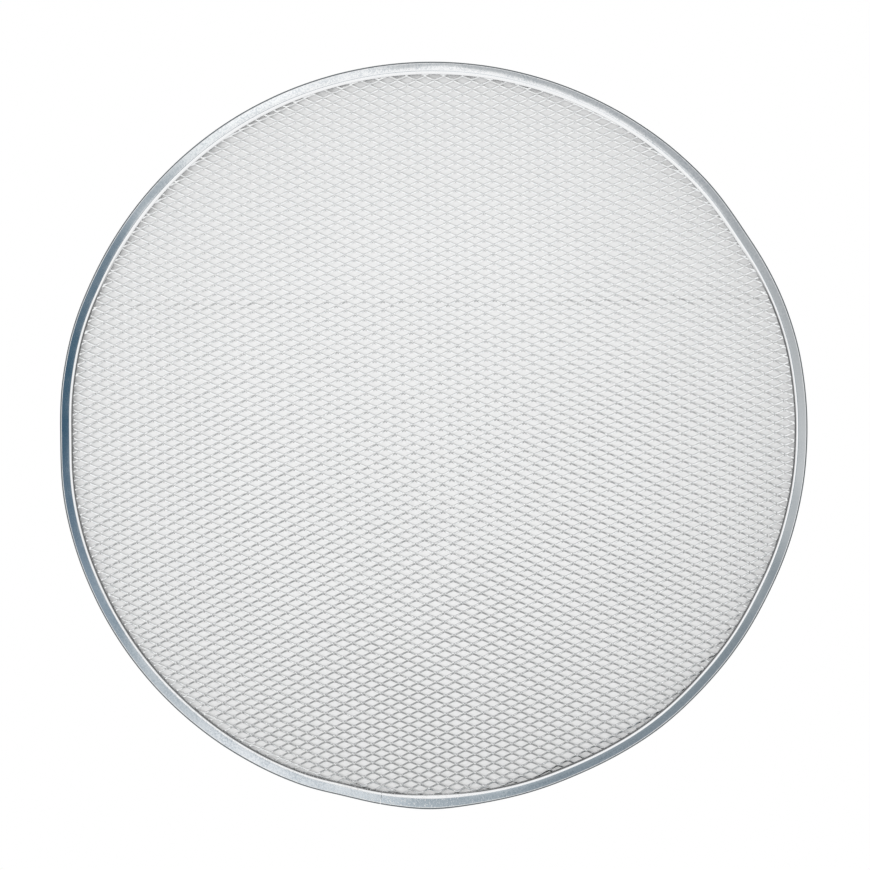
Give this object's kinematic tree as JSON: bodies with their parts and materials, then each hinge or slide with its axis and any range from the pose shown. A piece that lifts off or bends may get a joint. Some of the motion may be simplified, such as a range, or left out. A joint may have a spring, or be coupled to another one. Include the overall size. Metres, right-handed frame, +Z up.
{
  "type": "pizza screen",
  "caption": "Round baking screen: a flat disc of raised expanded aluminium mesh with its edge held in a folded aluminium rim.",
  "frame": {"origin": "centre of the disc in the plane of the rim's flat underside", "axes": "+Z up through the disc, +X along the long way of the mesh's diamonds, +Y along their short way"},
  "size_m": [0.406, 0.406, 0.0037],
  "materials": {
    "rim_strip": "mill-finish strip, handled, with fine scuffs along it",
    "mesh": "bright as-cut strands"
  },
  "bodies": {
    "root": {"rim": "rim_strip", "mesh_disc": "mesh"}
  },
  "joints": []
}
